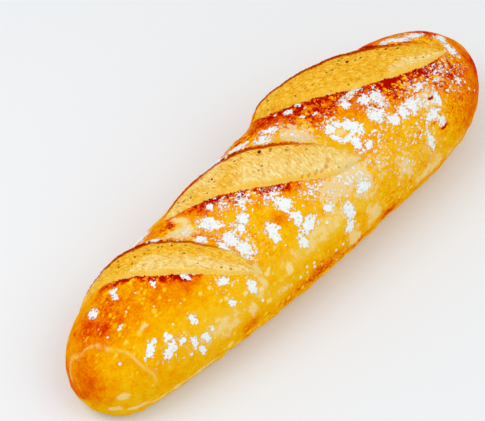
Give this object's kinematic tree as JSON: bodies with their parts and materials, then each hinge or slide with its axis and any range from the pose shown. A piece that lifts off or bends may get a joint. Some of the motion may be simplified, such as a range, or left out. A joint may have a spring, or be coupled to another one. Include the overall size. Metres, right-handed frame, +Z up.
{
  "type": "italian bread",
  "caption": "Long crusty wheat loaf with a blunt narrow end, a broad rounded end, a flat base and slanting opened slashes with raised rims on top.",
  "frame": {"origin": "centre of the loaf's footprint, on the surface it rests on", "axes": "+X along the loaf towards its broad end, +Y towards the side where each slash begins, +Z up"},
  "size_m": [0.38, 0.1092, 0.0794],
  "materials": {
    "crust": "baked crust, satin, with a dusting of flour and paler crumb in the slashes"
  },
  "bodies": {
    "root": {"loaf": "crust"}
  },
  "joints": []
}
